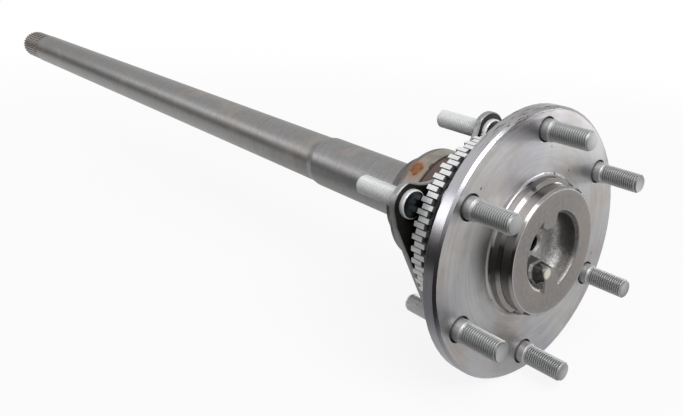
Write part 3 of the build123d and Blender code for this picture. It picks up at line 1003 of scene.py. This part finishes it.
class AXLE_OT_wheel_studs(Operator):
    """Turn and thread the six wheel studs"""

    bl_idname = "axle.wheel_studs"
    bl_label = "Wheel Studs"

    def execute(self, context):
        sizes = context.scene.axle_threads
        low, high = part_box(WHEEL_STUDS[0])
        crest = mount("wheel_studs")["dims"]["stud_r_mm"] * MM
        head = (high.x - low.x) / 2
        start = COLLAR_END - (COLLAR_RADIUS - crest)
        outline = [(0, high.y), (head - HEAD_BEVEL, high.y), (head, high.y - HEAD_BEVEL), (head, FLANGE_BACK)]
        outline += [(COLLAR_RADIUS, FLANGE_BACK), (COLLAR_RADIUS, COLLAR_END)]
        outline += [(crest, y) for y in steps(start, low.y + POINT_BEVEL, sizes.pitch / sizes.rows)]
        outline += [(crest - POINT_BEVEL, low.y), (0, low.y)]
        material = phosphate_finish(context.scene.axle_colours)
        studs = set_studs("wheel_studs", outline, WHEEL_STUDS, crest, start, -1.0, material, sizes)
        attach(studs, "axle")
        return {"FINISHED"}


class AXLE_OT_tone_ring(Operator):
    """Finish the toothed ring behind the flange"""

    bl_idname = "axle.tone_ring"
    bl_label = "Tone Ring"

    def execute(self, context):
        dress("tone_ring", tooth_finish(context.scene.axle_colours))
        return {"FINISHED"}


class AXLE_OT_retainer(Operator):
    """Finish the retainer plate and thread its four studs"""

    bl_idname = "axle.retainer"
    bl_label = "Retainer"

    def execute(self, context):
        colours, sizes = context.scene.axle_colours, context.scene.axle_threads
        dress("retainer_plate", plate_finish(colours))
        low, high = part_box(RETAINER_STUDS[0])
        plate_low, plate_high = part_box("retainer_plate")
        crest = pin_radius(RETAINER_STUDS[0])
        head = (high.x - low.x) / 2
        knurl_end = plate_high.y + KNURL_LENGTH
        start = knurl_end + KNURL_RADIUS - crest
        outline = [(0, low.y)] + head_round(head - HEAD_ROUND, low.y + HEAD_ROUND, HEAD_ROUND)
        outline += [(head, plate_low.y), (KNURL_RADIUS, plate_low.y), (KNURL_RADIUS, knurl_end)]
        outline += [(crest, y) for y in steps(start, high.y - POINT_BEVEL, sizes.pitch / sizes.rows)]
        outline += [(crest - POINT_BEVEL, high.y), (0, high.y)]
        material = retainer_stud_finish(colours)
        studs = set_studs("retainer_studs", outline, RETAINER_STUDS, crest, start, 1.0, material, sizes)
        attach(studs, "retainer")
        return {"FINISHED"}


class AXLE_OT_bearing(Operator):
    """Finish the cup, cone, rollers and cage of the wheel bearing"""

    bl_idname = "axle.bearing"
    bl_label = "Wheel Bearing"

    def execute(self, context):
        colours = context.scene.axle_colours
        dress("bearing_cup", stained_finish(colours, "cup_steel", colours.cup, 0.9))
        ground = ground_finish(colours, "bearing_steel", colours.ground, 0.16)
        for node in ("bearing_cone", "bearing_rollers", "roller_cage"):
            dress(node, ground)
        return {"FINISHED"}


class AXLE_OT_seals(Operator):
    """Finish the seal case and the rubber seals"""

    bl_idname = "axle.seals"
    bl_label = "Seals"

    def execute(self, context):
        colours = context.scene.axle_colours
        dress("seal_case", stained_finish(colours, "case_steel", colours.case, 0.5))
        rubber = rubber_finish(colours)
        for node in ("outer_seal", "inner_seal", "sealing_ring"):
            dress(node, rubber)
        return {"FINISHED"}


class AXLE_OT_lock_collar(Operator):
    """Finish the collar that locks the bearing on the shaft"""

    bl_idname = "axle.lock_collar"
    bl_label = "Lock Collar"

    def execute(self, context):
        colours = context.scene.axle_colours
        dress("lock_collar", ground_finish(colours, "collar_steel", colours.collar, 0.22))
        return {"FINISHED"}


# The stage


def softbox(name, place, target, width, height, power):
    """A soft lamp that faces a target."""
    lamp = bpy.data.lights.new(name, "AREA")
    lamp.shape = "RECTANGLE"
    lamp.size = width
    lamp.size_y = height
    lamp.energy = power
    holder = add_object(name, lamp)
    holder.location = place
    holder.rotation_euler = (Vector(target) - Vector(place)).to_track_quat("-Z", "Y").to_euler()


def seen_white(nodes, mirrored):
    """How white the surroundings are for a ray: all for the camera and through glass, some in metal."""
    path = nodes.add("ShaderNodeLightPath", output="Is Camera Ray")
    either = nodes.maths("MAXIMUM", path, path.output("Is Glossy Ray") * mirrored)
    return nodes.maths("MAXIMUM", either, path.output("Is Transmission Ray"))


def set_world(scene, studio):
    """White surroundings for the camera, and for metal a dim horizon, lit from above and from the right."""
    world = bpy.data.worlds.new("studio")
    world.use_nodes = True
    nodes = Nodes(world.node_tree)
    nodes.tree.nodes.clear()
    across = nodes.add("ShaderNodeSeparateXYZ", None, {0: nodes.add("ShaderNodeTexCoord")})
    above = (across.output("Z") - across * 0.3).above(0.35, 0.5)
    lit = nodes.maths("MAXIMUM", above, across.above(0.18, 0.3) * 0.8)
    mirrored = studio.mirrored + (1 - studio.mirrored) * lit
    metal = nodes.add("ShaderNodeLightPath", output="Is Glossy Ray")
    strength = studio.ambient + (mirrored - studio.ambient) * metal
    strength = nodes.maths("MAXIMUM", strength, seen_white(nodes, 0.0))
    sky = nodes.add("ShaderNodeBackground", None, {"Color": WHITE, "Strength": strength})
    nodes.add("ShaderNodeOutputWorld", None, {"Surface": sky})
    scene.world = world


def floor_paint(studio):
    """Pale paint, whiter further off so that the floor has no edge, with painted shade on the left and
    painted light on the right and behind, for reflections.
    """
    paint = bpy.data.materials.new("floor")
    paint.use_nodes = True
    nodes = Nodes(paint.node_tree)
    nodes.tree.nodes.clear()
    spot = nodes.add("ShaderNodeTexCoord", output="Object")
    across = nodes.add("ShaderNodeSeparateXYZ", None, {0: spot})
    along = across.output("Y")
    # Zones of painted light and shade that metal reflects: light on the right, beside the axle and behind it,
    # shade on the left
    right = across.above(RIGHT_SIDE, 0.08)
    beside = across.above(PATCH_SIDE, 0.06) * along.within(*PATCH_ENDS, 0.1)
    behind = along.above(REAR_START, 0.1) * across.above(REAR_SIDE, 0.1)
    light = right + (1 - right) * (beside * 0.3 + behind * 0.9)
    band = across.within(*DIM_BAND, 0.08)
    far = nodes.add("ShaderNodeVectorMath", {"operation": "LENGTH"}, {0: spot}, output="Value")
    near = studio.whiteness + (1 - studio.whiteness) * far.above(FLOOR_FADE, 1.2)
    share = seen_white(nodes, light * (0.58 - 0.36 * band) + behind * 0.35) * near
    seen = nodes.add("ShaderNodeLightPath", output="Is Camera Ray")
    colour = nodes.mix(seen, nodes.mix(light, FLOOR_SHADE, studio.floor), FLOOR_SEEN)
    matt = nodes.add("ShaderNodeBsdfDiffuse", None, {"Color": colour})
    white = nodes.add("ShaderNodeEmission", None, {"Color": WHITE, "Strength": 1.0})
    surface = nodes.add("ShaderNodeMixShader", None, {0: share, 1: matt, 2: white})
    nodes.add("ShaderNodeOutputMaterial", None, {"Surface": surface})
    return paint


def lay_floor(studio):
    """The plain pale floor that the axle lies on."""
    mesh = bpy.data.meshes.new("floor")
    sides = ((-1, -1), (1, -1), (1, 1), (-1, 1))
    corners = [(x * FLOOR_REACH, y * FLOOR_REACH, solid_box[0][2]) for x, y in sides]
    mesh.from_pydata(corners, [], [(0, 1, 2, 3)])
    mesh.materials.append(floor_paint(studio))
    floor = add_object("floor", mesh)


def set_camera(scene, studio):
    """The camera at the photograph's viewpoint."""
    camera = bpy.data.cameras.new("camera")
    camera.lens = studio.lens
    camera.shift_x, camera.shift_y = studio.shift
    camera.clip_start = CAMERA_CLIP
    holder = add_object("camera", camera)
    facing = (Vector(studio.aim) - Vector(studio.position)).to_track_quat("-Z", "Y").to_matrix().to_4x4()
    roll = Matrix.Rotation(studio.roll, 4, "Z")
    holder.matrix_world = Matrix.Translation(studio.position) @ facing @ roll
    scene.camera = holder


class AXLE_OT_studio(Operator):
    """Set the floor, the lamps, the white surroundings and the camera"""

    bl_idname = "axle.studio"
    bl_label = "Studio"

    def execute(self, context):
        scene, studio = context.scene, context.scene.axle_studio
        scene.view_settings.view_transform = "Standard"
        set_world(scene, studio)
        lay_floor(studio)
        for name, (place, target, size) in LAMPS.items():
            softbox(f"{name}_lamp", place, target, *size, getattr(studio, name))
        set_camera(scene, studio)
        return {"FINISHED"}


class AXLE_PT_panel(Panel):
    """Lists what the finish is made of"""

    bl_idname = "AXLE_PT_panel"
    bl_label = "Axle Shaft Finish"
    bl_space_type = "VIEW_3D"
    bl_region_type = "UI"
    bl_category = "Axle"

    def draw(self, context):
        for operator in OPERATORS:
            self.layout.operator(operator.bl_idname)
        for group in GROUPS:
            values = getattr(context.scene, group)
            for name in values.bl_rna.properties.keys()[2:]:
                self.layout.prop(values, name)


GROUPS = {"axle_threads": AxleThreadSizes, "axle_colours": AxleColours, "axle_studio": AxleStudio}
OPERATORS = (
    AXLE_OT_studio,
    AXLE_OT_forging,
    AXLE_OT_lug_foot,
    AXLE_OT_wheel_studs,
    AXLE_OT_tone_ring,
    AXLE_OT_retainer,
    AXLE_OT_bearing,
    AXLE_OT_seals,
    AXLE_OT_lock_collar,
)


def register():
    """Make the classes and the scene's settings known to Blender."""
    for group in GROUPS.values():
        bpy.utils.register_class(group)
    for cls in (*OPERATORS, AXLE_PT_panel):
        bpy.utils.register_class(cls)
    for name, group in GROUPS.items():
        setattr(bpy.types.Scene, name, PointerProperty(type=group))


def unregister():
    """Take them away again."""
    for name in GROUPS:
        delattr(bpy.types.Scene, name)
    for cls in (AXLE_PT_panel, *reversed(OPERATORS), *GROUPS.values()):
        bpy.utils.unregister_class(cls)


def main():
    """Dress the axle shaft piece by piece."""
    register()
    for operator in OPERATORS:
        family, name = operator.bl_idname.split(".")
        getattr(getattr(bpy.ops, family), name)()


if __name__ == "__main__":
    main()
